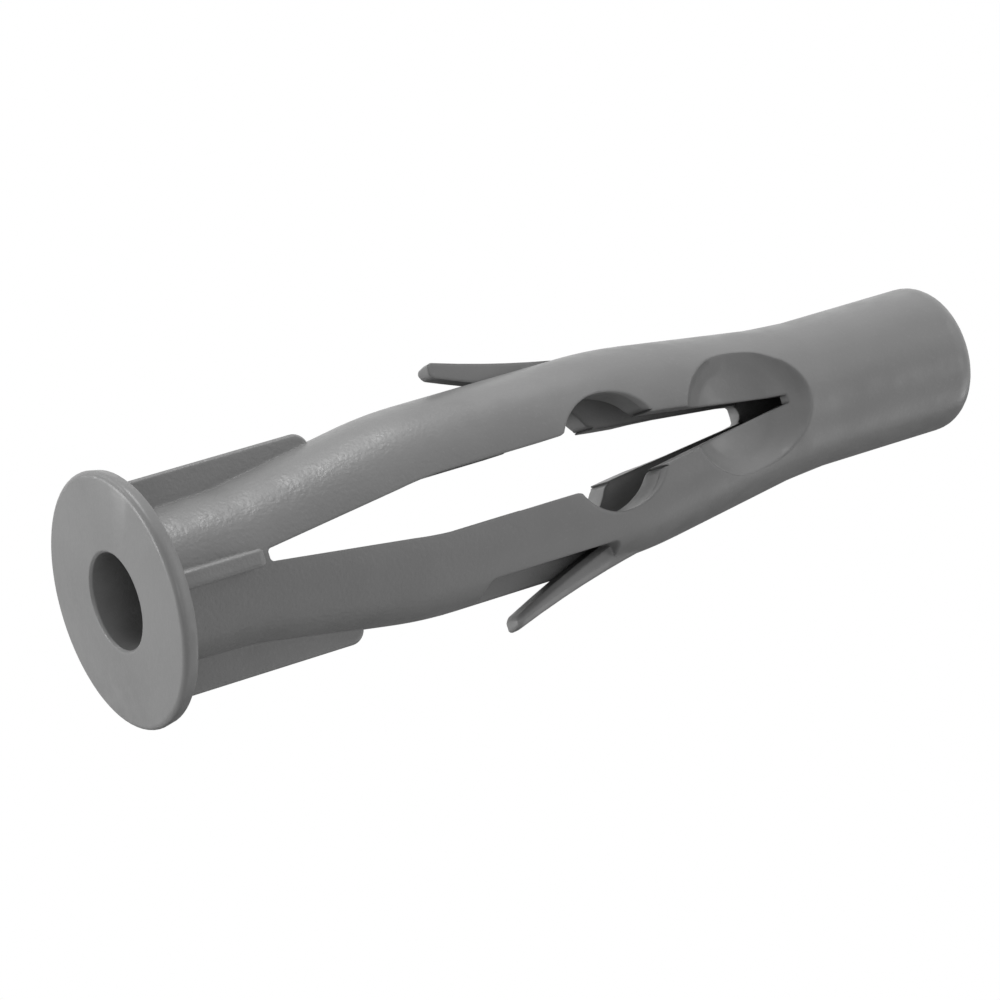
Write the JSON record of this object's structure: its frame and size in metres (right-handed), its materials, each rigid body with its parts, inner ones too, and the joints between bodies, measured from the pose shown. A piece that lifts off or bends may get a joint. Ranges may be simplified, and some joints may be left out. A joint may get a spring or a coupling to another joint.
{
  "type": "wall plug",
  "caption": "Moulded plastic wall plug: a round collar, anti-turn fins, two bowed half-tube arms with locking barbs, and a plain round tip. A screw spreads the arms in a drilled hole.",
  "frame": {"origin": "centre of the collar's outer face, on the plug's axis", "axes": "+Z along the plug from the collar to the tip; the two arms bow out along +X and -X"},
  "size_m": [0.0144, 0.0132, 0.0513],
  "materials": {
    "grey_plastic": "mid-grey moulded nylon with a faint grain and a soft sheen"
  },
  "bodies": {
    "root": {"wall_plug": "grey_plastic"}
  },
  "joints": []
}
